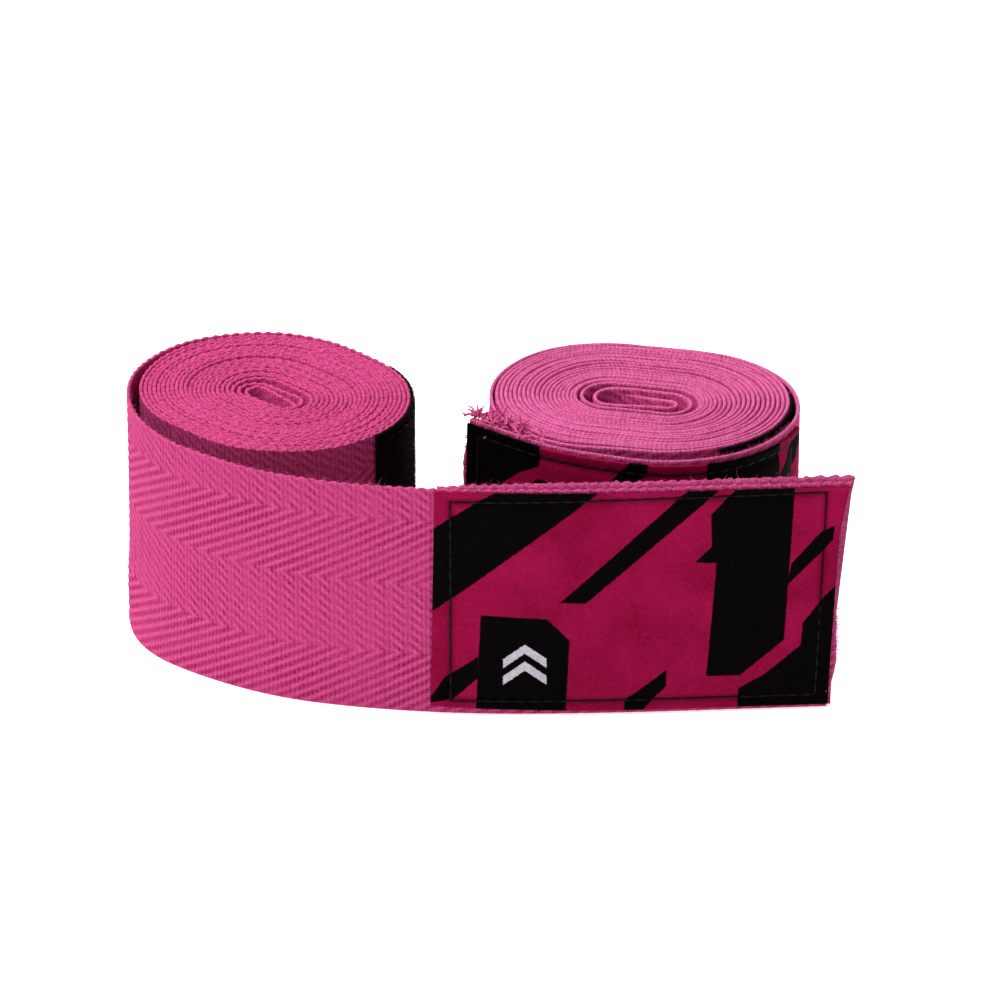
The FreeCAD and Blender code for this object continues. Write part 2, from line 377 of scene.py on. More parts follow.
# %% [markdown]
# ## The weave
# The tape is a broken herringbone: four bands of slanted ribs, each rib a row of yarn floats with a
# groove beside it. Ribs about two millimetres apart are deep enough to see in outline, so they are
# real relief on the faces that show. The finer yarns are left to the material's bump.

# %% Rib relief
BAND_EDGES = [0.0, 13.0, 28.5, 42.5, 50.0]
BAND_FOLDS = [0.0, 13.0, -2.5, 11.5, 4.0]     # height folded back and forth, so the slant reverses
PICK_PITCH = 0.93           # from one weft yarn to the next, along the tape
RIB_PITCH = 2.05            # from one rib to the next, up the tape
RIB_SLOPE = RIB_PITCH / (4 * PICK_PITCH)    # a rib climbs one pitch in four picks
RIB_DEPTH = 0.24
BROKEN = 0.8                # how far the floats of the falling bands break up into short dashes
print("herringbone:", len(BAND_EDGES) - 1, "bands, ribs", RIB_PITCH, "mm apart")


def rib_height(s, up):
    """Height of the ribbed face, from 0 in a groove to 1 on a rib."""
    phase = (np.interp(up, BAND_EDGES, BAND_FOLDS) - s * RIB_SLOPE) / RIB_PITCH
    rib = (0.5 + 0.5 * np.cos(2 * math.pi * phase)) ** 1.2
    broken = BROKEN * (((up > BAND_EDGES[1]) & (up < BAND_EDGES[2])) | (up > BAND_EDGES[3]))
    dash = 0.35 + 0.65 * rib * (0.5 + 0.5 * np.cos(2 * math.pi * s / PICK_PITCH / 2))
    rib = rib * (1 - broken) + broken * dash
    pick = 0.5 + 0.5 * np.cos(2 * math.pi * s / PICK_PITCH)
    return rib * (0.78 + 0.22 * pick) + (1 - rib) * 0.42 * pick


def raise_ribs(piece, inner):
    """Sinks the grooves between the ribs into a flat band's outer face, and into its inner face if asked."""
    flat = points_of(piece)
    s, out, up = flat.T
    groove = RIB_DEPTH * (1 - rib_height(s, up))
    edge = np.clip(np.minimum(up, TAPE_WIDTH - up) / 1.2, 0, 1)
    face = (np.abs(out) > 0.9 * TAPE_HALF) & ((out > 0) | inner)
    flat[:, 1] -= np.sign(out) * np.where(face, groove * edge, 0.0)
    move_points(piece, flat)


# %% Selvedges
SCALLOP = 2.2               # from one bead of the selvedge to the next


def bead_selvedges(piece, depth, pitch):
    """The weft turns round at the selvedge, which leaves a row of small beads along both edges."""
    flat = points_of(piece)
    s, out, up = flat.T
    near = np.clip(1 - np.minimum(up, TAPE_WIDTH - up) / 0.9, 0, 1)
    wave = 0.5 + 0.5 * np.cos(2 * math.pi * s / pitch)
    swell = 0.5 + 0.5 * np.cos(2 * math.pi * s / pitch + 0.6)
    lower = up < TAPE_WIDTH / 2
    flat[:, 2] += np.where(lower, 0.0, -1.0) * near * depth * wave
    flat[:, 1] = out * (1 - near * 0.22 * swell)
    move_points(piece, flat)


# %% Turns that aren't quite level
TOP_STEP = 900.0            # inside this length of tape the turns sit a little lower, like a dish
TOP_DIP = 0.55
RUFFLE = 0.26
RUFFLE_SEED = 31


def ruffle(piece, top_up):
    """No turn is wound quite level: the upper edge wanders up and down along the tape."""
    flat = points_of(piece)
    s, _, up = flat.T
    knots = np.arange(0, s.max() + 80, 38.0)
    step = np.random.default_rng(RUFFLE_SEED).normal(0, 0.6, len(knots))
    wander = np.sin(s / 23.0 + 1.3) * 0.6 + 0.5 * np.sin(s / 9.1) + 0.4 * np.sin(s / 3.3 + 2.0)
    wander = RUFFLE * 0.5 * (wander + np.interp(s, knots, step) * 1.4 - 1.2)
    wander -= TOP_DIP * np.clip((TOP_STEP - s) / 50.0, 0, 1)
    height = up if top_up else TAPE_WIDTH - up
    share = np.clip((height - TAPE_WIDTH / 2) / (TAPE_WIDTH / 2), 0, 1) ** 2
    flat[:, 2] += (1 if top_up else -1) * wander * share
    move_points(piece, flat)


def crush_eye(flat, top_up, lean, cross, droop):
    """At the eye the first turns lean over, and the tape's own end crosses it and sags."""
    s, out, up = flat.T
    height = up if top_up else TAPE_WIDTH - up
    near_top = np.clip((height - 22.0) / 28.0, 0, 1) ** 1.5
    turns = lean * np.exp(-s / 150.0) * np.clip((s - 20.0) / 30.0, 0, 1)
    end = cross * np.clip((16.0 - s) / 16.0, 0, 1)
    wobble = 0.22 * np.sin(s / 2.9) * np.exp(-s / 70.0)
    flat[:, 1] = out + (turns + end + wobble) * near_top
    sag = droop * np.exp(-s / 34.0) * (0.75 + 0.25 * np.sin(s / 4.0)) * near_top
    flat[:, 2] = up + (-1 if top_up else 1) * sag


# %% [markdown]
# ## Nodes for cloth
# Every finish below is made of nodes. Two groups do the work that several materials share. The first
# turns a place on the flat cloth into herringbone ribs, yarn floats and the selvedge. The second mixes a
# coarse and a fine noise, because dyed cotton is never one even colour.

# %% Node helpers
def put(tree, kind, sockets=None, **settings):
    """Adds a node with its settings, fills the named inputs with numbers or links, returns its outputs."""
    new = tree.nodes.new(kind)
    for key, value in settings.items():
        setattr(new, key, value)
    for key, value in (sockets or {}).items():
        if isinstance(value, bpy.types.NodeSocket):
            tree.links.new(value, new.inputs[key])
        else:
            new.inputs[key].default_value = value
    return new.outputs


def maths(tree, operation, *values):
    return put(tree, "ShaderNodeMath", dict(enumerate(values)), operation=operation)[0]


def blend_colours(tree, factor, first, second):
    return put(tree, "ShaderNodeMix", {0: factor, 6: first, 7: second}, data_type="RGBA")[2]


def ramp(tree, value, low, high, to_low=0.0, to_high=1.0):
    return put(tree, "ShaderNodeMapRange", {
        "Value": value, "From Min": low, "From Max": high, "To Min": to_low, "To Max": to_high,
    })[0]


def group(name, inputs, outputs):
    """An empty node group with its inputs and outputs, ready to be filled."""
    tree = bpy.data.node_groups.new(name, "ShaderNodeTree")
    for label, kind in inputs:
        tree.interface.new_socket(label, in_out="INPUT", socket_type=kind)
    for label, kind in outputs:
        tree.interface.new_socket(label, in_out="OUTPUT", socket_type=kind)
    return tree, tree.nodes.new("NodeGroupInput").outputs, tree.nodes.new("NodeGroupOutput").inputs


def use(tree, inner, **sockets):
    return put(tree, "ShaderNodeGroup", {k.replace("_", " "): v for k, v in sockets.items()}, node_tree=inner)


# %% The herringbone group
FLOAT, VECTOR = "NodeSocketFloat", "NodeSocketVector"
herringbone, given, wanted = group("herringbone", [("Cloth", VECTOR)], [
    ("Rib", FLOAT), ("Yarn", FLOAT), ("Selvedge", FLOAT),
])
axes = put(herringbone, "ShaderNodeSeparateXYZ", {0: given["Cloth"]})
fold = axes[1]
for edge, way in zip(BAND_EDGES[1:4], (-2.0, 2.0, -2.0)):
    beyond = maths(herringbone, "MAXIMUM", maths(herringbone, "SUBTRACT", axes[1], edge), 0.0)
    fold = maths(herringbone, "MULTIPLY_ADD", beyond, way, fold)
phase = maths(herringbone, "MULTIPLY_ADD", axes[0], -RIB_SLOPE, fold)
phase = maths(herringbone, "DIVIDE", phase, RIB_PITCH)
turns = maths(herringbone, "COSINE", maths(herringbone, "MULTIPLY", phase, 2 * math.pi))
rib = maths(herringbone, "POWER", ramp(herringbone, turns, -1.0, 1.0), 1.3)
pick = maths(herringbone, "COSINE", maths(herringbone, "MULTIPLY", axes[0], 2 * math.pi / PICK_PITCH))
past = [ramp(herringbone, axes[1], edge - 0.2, edge + 0.2) for edge in BAND_EDGES[1:4]]
falling = maths(herringbone, "ADD", maths(herringbone, "SUBTRACT", past[0], past[1]), past[2])
every_other = maths(herringbone, "MULTIPLY_ADD", axes[1], math.pi / (RIB_PITCH / 2),
                    maths(herringbone, "MULTIPLY", axes[0], math.pi / PICK_PITCH))
dash = ramp(herringbone, maths(herringbone, "COSINE", every_other), -1.0, 1.0)
dashes = maths(herringbone, "MULTIPLY_ADD", dash, 0.50, maths(herringbone, "MULTIPLY", rib, 0.55))
rib = put(herringbone, "ShaderNodeMix", {0: falling, 2: rib, 3: dashes})[0]
herringbone.links.new(rib, wanted["Rib"])
warp = maths(herringbone, "COSINE", maths(herringbone, "MULTIPLY", axes[1], 2 * math.pi / (RIB_PITCH / 4)))
yarn = maths(herringbone, "MULTIPLY_ADD", warp, 0.25, pick)
herringbone.links.new(ramp(herringbone, yarn, -1.25, 1.25), wanted["Yarn"])
from_edge = maths(herringbone, "MINIMUM", axes[1], maths(herringbone, "SUBTRACT", TAPE_WIDTH, axes[1]))
herringbone.links.new(ramp(herringbone, from_edge, 0.7, 0.1), wanted["Selvedge"])
print("herringbone group:", len(herringbone.nodes), "nodes")

# %% The cotton group
cotton, given, wanted = group("cotton", [("Place", VECTOR), ("Speckle size", FLOAT)], [
    ("Mottle", FLOAT), ("Speckle", FLOAT),
])
coarse = put(cotton, "ShaderNodeTexNoise", {"Vector": given["Place"], "Scale": 95.0, "Detail": 3.0})
fine = put(cotton, "ShaderNodeTexNoise", {
    "Vector": given["Place"], "Scale": given["Speckle size"], "Detail": 2.5, "Roughness": 0.65,
})
cotton.links.new(ramp(cotton, coarse[0], 0.3, 0.7), wanted["Mottle"])
cotton.links.new(ramp(cotton, fine[0], 0.28, 0.72), wanted["Speckle"])
print("cotton group:", len(cotton.nodes), "nodes")


# %% A finish and its parts
def finish(name, roughness, specular, sheen=0.0, tint=(1, 1, 1)):
    """A material whose constants sit on the shader itself. Returns it with its tree and shader."""
    made = bpy.data.materials.new(name)
    made.use_nodes = True
    shader = made.node_tree.nodes["Principled BSDF"]
    shader.inputs["Roughness"].default_value = roughness
    shader.inputs["Specular IOR Level"].default_value = specular
    shader.inputs["Sheen Weight"].default_value = sheen
    shader.inputs["Sheen Roughness"].default_value = 0.5
    shader.inputs["Sheen Tint"].default_value = (*tint, 1)
    return made, made.node_tree, shader


def cloth_place(tree):
    return put(tree, "ShaderNodeUVMap", uv_map="tape")[0]


def object_place(tree):
    return put(tree, "ShaderNodeTexCoord")["Object"]


def astray(tree, place, scale, detail, reach):
    """A place moved a little by noise, because no thread lies quite where it should."""
    noise = put(tree, "ShaderNodeTexNoise", {"Vector": place, "Scale": scale, "Detail": detail})["Color"]
    noise = put(tree, "ShaderNodeVectorMath", {0: noise, 1: (0.5, 0.5, 0.5)}, operation="SUBTRACT")[0]
    noise = put(tree, "ShaderNodeVectorMath", {0: noise, "Scale": reach}, operation="SCALE")[0]
    return put(tree, "ShaderNodeVectorMath", {0: place, 1: noise}, operation="ADD")[0]


def relief(tree, shader, height, depth, strength=1.0):
    bump = put(tree, "ShaderNodeBump", {"Height": height, "Distance": depth, "Strength": strength})
    tree.links.new(bump[0], shader.inputs["Normal"])


# %% [markdown]
# ## The tape's finish
# Cotton dyed hot pink. Light and shade are painted into its colour: the floats on top of each rib and the
# crowns of the yarns get a painted highlight, and the grooves get painted shade, so colour follows the rib.
# The cut and rubbed yarn at the selvedge is paler, most of all on the closed wrap.

# %% Cotton webbing
def cotton_webbing(name, groove, lit_float_tone, edge_tone, edge_share):
    made, tree, shader = finish(name, 0.9, 0.05, 0.05, (1.0, 0.35, 0.6))
    # yarns are never quite straight, so the place on the cloth wanders a little
    weave = use(tree, herringbone, Cloth=astray(tree, cloth_place(tree), 1.6, 3.0, 0.62))
    fibre = use(tree, cotton, Place=object_place(tree), Speckle_size=2300.0)
    # painted light and shade: the tone runs from painted shade in the grooves and between yarns to a painted
    # highlight on the floats
    low = maths(tree, "MULTIPLY", weave["Yarn"], 0.40)
    high = maths(tree, "MULTIPLY_ADD", weave["Yarn"], 0.22, 0.72)
    tone = put(tree, "ShaderNodeMix", {0: weave["Rib"], 2: low, 3: high})[0]
    tone = maths(tree, "MULTIPLY_ADD", fibre["Speckle"], 0.46, tone)
    tone = maths(tree, "MULTIPLY_ADD", fibre["Mottle"], 0.12, tone)
    # where the nap is brushed up, ribs and grooves look more alike
    brushed_up = ramp(tree, fibre["Mottle"], 0.25, 1.0, 0.0, 0.55)
    plain = maths(tree, "MULTIPLY_ADD", fibre["Speckle"], 0.5, 0.5)
    tone = put(tree, "ShaderNodeMix", {0: brushed_up, 2: tone, 3: plain})[0]
    tone = ramp(tree, tone, 0.16, 1.42)
    # the groove colour is painted shade and the lit float colour a painted highlight, both on the one pink
    # dye
    colour = blend_colours(tree, tone, (*groove, 1), (*lit_float_tone, 1))
    speck = ramp(tree, fibre["Speckle"], 0.0, 1.0, 0.55, 1.0)
    edge = maths(tree, "MULTIPLY", maths(tree, "MULTIPLY", weave["Selvedge"], speck), edge_share)
    colour = blend_colours(tree, edge, colour, (*edge_tone, 1))
    tree.links.new(colour, shader.inputs["Base Color"])
    tree.links.new(ramp(tree, tone, 0.0, 1.0, 0.96, 0.84), shader.inputs["Roughness"])
    height = maths(tree, "MULTIPLY_ADD", fibre["Speckle"], 0.8, weave["Yarn"])
    relief(tree, shader, height, 0.00022, 0.8)
    return made


webbing_open = cotton_webbing(
    "webbing_open", (0.205, 0.0020, 0.050), (0.68, 0.084, 0.270), (0.58, 0.068, 0.215), 0.6)
webbing_closed = cotton_webbing(
    "webbing_closed", (0.25, 0.004, 0.066), (0.68, 0.084, 0.270), (0.61, 0.128, 0.310), 0.95)
print("webbing:", webbing_open.name, "and", webbing_closed.name)

# %% [markdown]
# ## The label's finish
# A woven satin label: the loom floats pink or black threads to the surface, so the bands have crisp edges
# that step at each thread. Each band is a convex shape, and a convex shape is where a point lies behind all
# of its edges. A dot product gives the distance to one edge, and the greatest of them decides.

# %% Shapes on the label
def behind_edges(tree, place, corners):
    """Distance outside a convex shape with corners in clockwise order, below 0 inside it."""
    farthest = None
    for (ax, ay), (bx, by) in zip(corners, corners[1:] + corners[:1]):
        length = math.hypot(bx - ax, by - ay)
        nx, ny = -(by - ay) / length, (bx - ax) / length
        edge = put(tree, "ShaderNodeVectorMath", {
            0: place, 1: (nx, ny, -(nx * ax + ny * ay)),
        }, operation="DOT_PRODUCT")["Value"]
        farthest = edge if farthest is None else maths(tree, "MAXIMUM", farthest, edge)
    return farthest


DARK_BANDS = [
    [(0.6, 41.5), (5.8, 45.2), (12.5, 49.5), (33.2, 49.5), (3.5, 25.6), (-1.0, 22.2), (-1.0, 40.2)],
    [(50.5, 49.5), (56.9, 49.5), (29.8, 24.5), (24.7, 24.8)],
    [(53.9, 7.6), (56.5, 43.7), (59.5, 49.5), (71.1, 49.5), (69.4, 15.3), (60.7, 7.5)],
    [(51.3, 33.0), (55.1, 36.8), (58.0, 36.8), (58.0, 32.7)],
    [(54.7, 36.4), (54.5, 43.6), (60.0, 49.5), (61.1, 49.5), (61.1, 36.3)],
    [(69.7, 27.3), (70.6, 32.3), (76.5, 39.1), (79.2, 40.2), (78.8, 36.9)],
    [(60.1, -1.0), (60.4, 4.7), (65.2, 7.4), (80.1, 15.4), (80.1, -1.0)],
    [(63.2, -1.0), (65.2, 7.4), (72.6, 13.9), (80.1, 20.5), (80.1, -1.0)],
    [(72.3, -1.0), (72.3, 9.4), (73.1, 19.0), (76.5, 23.6), (81.6, 29.2), (81.6, -1.0)],
    [(37.8, 2.8), (46.0, 9.4), (45.9, 5.6), (40.1, -1.0), (37.3, -1.0)],
    [(9.1, 22.0), (22.2, 21.2), (26.7, 16.3), (25.9, -1.0), (8.0, -1.0)],
    [(-1.0, 3.2), (1.8, 7.7), (8.6, 12.8), (8.6, 8.1), (3.5, 2.8), (-1.0, 2.1)],
]
CHEVRON_MIDDLE, CHEVRON_HEIGHT = 17.8, 12.6
CHEVRON_SLOPE, CHEVRON_REACH = 0.75, 4.3
STRIPE_APART, STRIPE_HALF = 1.9, 1.0

label_bands, given, wanted = group("label_bands", [("Cloth", VECTOR)], [("Dark", FLOAT), ("Pale", FLOAT)])
axes = put(label_bands, "ShaderNodeSeparateXYZ", {0: given["Cloth"]})
flat_place = put(label_bands, "ShaderNodeCombineXYZ", {0: axes[0], 1: axes[1], 2: 1.0})[0]
nearest = None
for corners in DARK_BANDS:
    shape = behind_edges(label_bands, flat_place, corners)
    nearest = shape if nearest is None else maths(label_bands, "MINIMUM", nearest, shape)
label_bands.links.new(ramp(label_bands, nearest, 0.06, -0.06), wanted["Dark"])
aside = maths(label_bands, "ABSOLUTE", maths(label_bands, "SUBTRACT", axes[0], CHEVRON_MIDDLE))
rise = maths(label_bands, "MULTIPLY_ADD", aside, CHEVRON_SLOPE, axes[1])
stripe = maths(label_bands, "ABSOLUTE", maths(label_bands, "SUBTRACT", rise, CHEVRON_HEIGHT))
stripe = maths(label_bands, "ABSOLUTE", maths(label_bands, "SUBTRACT", stripe, STRIPE_APART))
stripe = maths(label_bands, "MAXIMUM", maths(label_bands, "SUBTRACT", stripe, STRIPE_HALF),
               maths(label_bands, "SUBTRACT", aside, CHEVRON_REACH))
label_bands.links.new(ramp(label_bands, stripe, 0.06, -0.06), wanted["Pale"])
print("label bands:", len(DARK_BANDS), "shapes,", len(label_bands.nodes), "nodes")

# %% Satin label
SEAM_SIDES = [              # how far inside each side a point lies: share of x, share of y, and start
    (1.0, 0.0, -3.1),
    (-1.0, 0.035, 75.7),
    (0.0, 1.0, -2.6),
    (0.010, -1.0, 46.7),
]


def painted_seam_shade(tree, place):
    """A mask of painted shade in the trench that the seam pulls, darkest right under the thread."""
    axes = put(tree, "ShaderNodeSeparateXYZ", {0: place})
    place = put(tree, "ShaderNodeCombineXYZ", {0: axes[0], 1: axes[1], 2: 1.0})[0]
    sides = [put(tree, "ShaderNodeVectorMath", {0: place, 1: side}, operation="DOT_PRODUCT")["Value"]
             for side in SEAM_SIDES]
    inside = maths(tree, "MINIMUM", maths(tree, "MINIMUM", sides[0], sides[1]),
                   maths(tree, "MINIMUM", sides[2], sides[3]))
    apart = maths(tree, "ABSOLUTE", inside)
    # the darkest painted shade: a thin line right under the thread
    thread = ramp(tree, apart, 0.36, 0.12)
    return maths(tree, "MULTIPLY_ADD", thread, 0.62, ramp(tree, apart, 1.3, 0.2, 0.0, 0.38))


def satin_label():
    made, tree, shader = finish("satin_label", 0.62, 0.012)
    place = cloth_place(tree)
    fibre = use(tree, cotton, Place=object_place(tree), Speckle_size=1500.0)
    # each thread runs a little past or short of the outline
    bands = use(tree, label_bands, Cloth=astray(tree, place, 2.2, 1.0, 0.35))
    tone = maths(tree, "MULTIPLY_ADD", fibre["Speckle"], 0.45, maths(tree, "MULTIPLY", fibre["Mottle"], 0.55))
    colour = blend_colours(tree, tone, (0.160, 0.0012, 0.024, 1), (0.315, 0.0050, 0.056, 1))
    # painted shade in the seam's trench, mixed over the label's pink
    painted_trench_shade = maths(tree, "MULTIPLY", painted_seam_shade(tree, place), 0.92)
    colour = blend_colours(tree, painted_trench_shade, colour, (0.018, 0.0004, 0.004, 1))
    ink = blend_colours(tree, fibre["Speckle"], (0.0006, 0.0003, 0.0004, 1), (0.0022, 0.0014, 0.0017, 1))
    colour = blend_colours(tree, bands["Dark"], colour, ink)
    pale = blend_colours(tree, fibre["Speckle"], (0.36, 0.34, 0.39, 1), (0.52, 0.50, 0.55, 1))
    colour = blend_colours(tree, bands["Pale"], colour, pale)
    tree.links.new(colour, shader.inputs["Base Color"])
    tree.links.new(ramp(tree, fibre["Speckle"], 0.0, 1.0, 0.72, 0.55), shader.inputs["Roughness"])
    axes = put(tree, "ShaderNodeSeparateXYZ", {0: place})
    pick = maths(tree, "SINE", maths(tree, "MULTIPLY", axes[1], 2 * math.pi / 0.34))
    slant = maths(tree, "ADD", axes[0], axes[1])
    end = maths(tree, "SINE", maths(tree, "MULTIPLY", slant, 2 * math.pi / 0.55))
    height = maths(tree, "MULTIPLY_ADD", pick, 0.3, maths(tree, "MULTIPLY", end, 0.25))
    height = maths(tree, "ADD", height, fibre["Speckle"])
    relief(tree, shader, height, 0.00007, 0.8)
    return made


satin = satin_label()
print("label finish:", len(satin.node_tree.nodes), "nodes")

# %% [markdown]
# ## Pile, nap, narrow tape and thread
# The loop patch is a brushed pile, the hook patch is black and swallows light, and the sewing thread is a
# twisted pair, its stripes painted shade between the plies. All are noise and stripes on the piece's own map
# or place.

# %% Other finishes
def brushed(name, low, high, roughness, specular, size, depth, sheen=0.0):
    made, tree, shader = finish(name, roughness, specular, sheen, (1.0, 0.5, 0.72))
    fibre = use(tree, cotton, Place=object_place(tree), Speckle_size=size)
    tone = maths(tree, "MULTIPLY_ADD", fibre["Speckle"], 0.7, maths(tree, "MULTIPLY", fibre["Mottle"], 0.3))
    tree.links.new(blend_colours(tree, tone, (*low, 1), (*high, 1)), shader.inputs["Base Color"])
    tree.links.new(ramp(tree, tone, 0.0, 1.0, min(1.0, roughness + 0.06), roughness - 0.08),
                   shader.inputs["Roughness"])
    relief(tree, shader, fibre["Speckle"], depth)
    return made


pile = brushed("loop_pile", (0.26, 0.010, 0.075), (0.62, 0.090, 0.255), 0.92, 0.06, 1700.0, 0.0004, 0.1)
fluff = brushed("cotton_fluff", (0.42, 0.035, 0.150), (0.66, 0.110, 0.290), 0.92, 0.06, 900.0, 0.0001, 0.1)
nap = brushed("hook_nap", (0.0010, 0.0006, 0.0008), (0.0075, 0.0040, 0.0052), 0.86, 0.03, 1500.0, 0.0003)
narrow_cotton = brushed("narrow_cotton", (0.26, 0.008, 0.07), (0.56, 0.055, 0.20), 0.9, 0.1, 1900.0, 0.0002,
                        0.1)


# %% Thread
def twisted_thread(name, low, high, specular):
    made, tree, shader = finish(name, 0.55, specular)
    axes = put(tree, "ShaderNodeSeparateXYZ", {0: cloth_place(tree)})
    fibre = use(tree, cotton, Place=object_place(tree), Speckle_size=2600.0)
    # painted shade between the two plies and a painted highlight on their crowns, as stripes along the twist
    ply_shade = maths(tree, "ADD", axes[0], axes[1])
    ply_shade = maths(tree, "SINE", maths(tree, "MULTIPLY", ply_shade, 2 * math.pi / 0.45))
    tone = maths(tree, "MULTIPLY_ADD", fibre["Speckle"], 0.4, ramp(tree, ply_shade, -1.0, 1.0, 0.0, 0.6))
    tree.links.new(blend_colours(tree, tone, (*low, 1), (*high, 1)), shader.inputs["Base Color"])
    tree.links.new(ramp(tree, tone, 0.0, 1.0, 0.65, 0.5), shader.inputs["Roughness"])
    relief(tree, shader, tone, 0.0001)
    return made


black_thread = twisted_thread("black_thread", (0.0012, 0.0007, 0.0009), (0.010, 0.006, 0.008), 0.10)
pink_thread = twisted_thread("pink_thread", (0.34, 0.012, 0.10), (0.62, 0.06, 0.23), 0.2)
print("materials:", len(bpy.data.materials))


def dress(piece, material):
    piece.data.materials.clear()
    piece.data.materials.append(material)
    return piece


# %% [markdown]
# ## The wound tape
# A wrap's tape is one cloth, 50 mm by about 2.6 m. Here it is cut where nobody can see it: the inner turns,
# the outermost turn, and the parts past a fold. The inner turns show only their edges, so their section has
# few points and steps closely along the tape. The outer turn shows its face and gets the full ribs.

# %% The inner turns
EDGE_ROWS = 4
WOUND_HALF = 0.425          # wound tight, the turns all but touch


def wound_turns(wrap, name, first, last, step, bead_pitch, bead_depth, material, eye):
    section = section_of(EDGE_ROWS, EDGE_ROWS, WOUND_HALF)
    piece = flat_band(name, first, last, step, section)
    cloth_map(piece)
    bead_selvedges(piece, bead_depth, bead_pitch)
    ruffle(piece, not wrap.upside_down)
    flat = points_of(piece)
    crush_eye(flat, not wrap.upside_down, *eye)
    move_points(piece, flat)
    stand(piece, wrap)
    return dress(piece, material)


OPEN_OUTER_TURN = 172.0
CLOSED_OUTER_TURN = 176.0
open_split = open_hinge - OPEN_OUTER_TURN
closed_split = closed_hinge - CLOSED_OUTER_TURN

open_turns = wound_turns(open_wrap, "open_wrap_inner_turns", 0.0, open_split, 0.42, SCALLOP, 0.30,
                         webbing_open, eye=(-1.15, 1.0, 2.2))
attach(open_turns, "open_roll")
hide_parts("open_wrap_rolled_webbing")

FINE_BEAD = 1.05
closed_middle = closed_split * 0.55
for part, (first, last) in enumerate(((0.0, closed_middle), (closed_middle, closed_split)), 1):
    closed_turns = wound_turns(closed_wrap, f"closed_wrap_inner_turns_{part}", first, last, 0.26, FINE_BEAD,
                               0.22, webbing_closed, eye=(1.35, 3.3, 1.9))
    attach(closed_turns, "closed_roll")
    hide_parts("closed_wrap_rolled_webbing")
print("inner turns:", round(open_split), "and", round(closed_split), "mm of tape")

# %% [markdown]
# ## The outer turn, the tail and the tabs
# These show their faces. Each is the same band with about 0.3 mm between points, fine enough for the ribs.

# %% Ribbed bands
RIB_STEP = 0.31


def ribbed_band(wrap, name, first, last, outer_rows, inner_rows, material, bead=SCALLOP, shape=None):
    piece = flat_band(name, first, last, RIB_STEP, section_of(outer_rows, inner_rows, TAPE_HALF))
    cloth_map(piece)
    raise_ribs(piece, inner=inner_rows > 30)
    bead_selvedges(piece, 0.30 if bead > 2 else 0.2, bead)
    ruffle(piece, not wrap.upside_down)
    if shape:
        flat = points_of(piece)
        shape(flat)
        move_points(piece, flat)
    stand(piece, wrap)
    return dress(piece, material)


# %% The askew cut and the soft corner
CUT_HEIGHTS = [0.0, 10.0, 25.0, 40.0, 46.0, 50.0]
LABEL_CUT = [0.4, 0.7, 1.5, 2.6, 4.1, 5.1]
TAPE_CUT = [-2.9, -1.0, -1.2, -3.0, -0.6, 1.7]


def cut_askew(wrap, cut, left=0.0, lift=0.0):
    """The tab was cut a little askew: its top edge runs further than its bottom edge."""
    def shape(flat):
        s, up = flat[:, 0], flat[:, 2]
        share = np.clip((s - (wrap.label_start + 50.0)) / 31.0, 0, 1) ** 2
        start = np.clip((wrap.label_start + 20.0 - s) / 20.0, 0, 1) ** 2
        flat[:, 0] += share * np.interp(up, CUT_HEIGHTS, cut) + start * left * (1 - up / TAPE_WIDTH)
        flat[:, 2] += lift * np.clip(1 - (s - wrap.label_start) / 32.0, 0, 1) * (1 - 0.5 * up / TAPE_WIDTH)
    return shape


def lower_corner(flat):
    """Standing loose, the tail's lower edge is pushed out where it rounds the front left corner."""
    s, out, up = flat.T
    along = s - open_hinge
    here = np.exp(-((along - 30.0) / 15.0) ** 2)
    down = np.clip(1 - up / 34.0, 0, 1)
    flare = 1.3 * here * down ** 2
    fan = np.sin((along * 0.55 + up * 1.15) * 2 * math.pi / 4.4) * np.exp(-((along - 19.0) / 5.5) ** 2)
    crease = 0.42 * fan * np.exp(-((up - 10.0) / 6.5) ** 2)
    flat[:, 1] = out + flare + crease


# %% The open wrap's outer turn, tail and tab
OPEN_BEFORE_HINGE = 3.0
TAB_OVERLAP = 8.0
outer_turn = ribbed_band(open_wrap, "open_wrap_outer_turn", open_split, open_hinge - OPEN_BEFORE_HINGE,
                         110, 40, webbing_open)
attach(outer_turn, "open_roll")
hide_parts("open_wrap_rolled_webbing")

tail = ribbed_band(open_wrap, "open_wrap_tail", open_hinge - OPEN_BEFORE_HINGE, open_fold - TAB_OVERLAP,
                   150, 80, webbing_open, shape=lower_corner)
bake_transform(tail)
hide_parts("open_wrap_tail_webbing")

open_tab = ribbed_band(open_wrap, "open_wrap_tab", open_fold - TAB_OVERLAP, open_line.length,
                       130, 60, webbing_open, shape=cut_askew(open_wrap, TAPE_CUT))
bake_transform(open_tab)
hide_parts("open_wrap_tab_webbing")
print("open wrap's faces:", outer_turn.name, tail.name, open_tab.name)

# %% The closed wrap's outer turn and tab
CLOSED_BEFORE_HINGE = 3.0


def looser_front(flat):
    """The last wound turn stands off the roll in front, and hugs it at the back right."""
    before = closed_hinge - flat[:, 0]
    flat[:, 1] += 1.1 * np.exp(-((before - 122.0) / 22.0) ** 2) - 0.9 * np.exp(-((before - 45.0) / 20.0) ** 2)


closed_outer = ribbed_band(closed_wrap, "closed_wrap_outer_turn", closed_split,
                           closed_hinge - CLOSED_BEFORE_HINGE, 100, 30,
                           webbing_closed, bead=FINE_BEAD, shape=looser_front)
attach(closed_outer, "closed_roll")
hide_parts("closed_wrap_rolled_webbing")

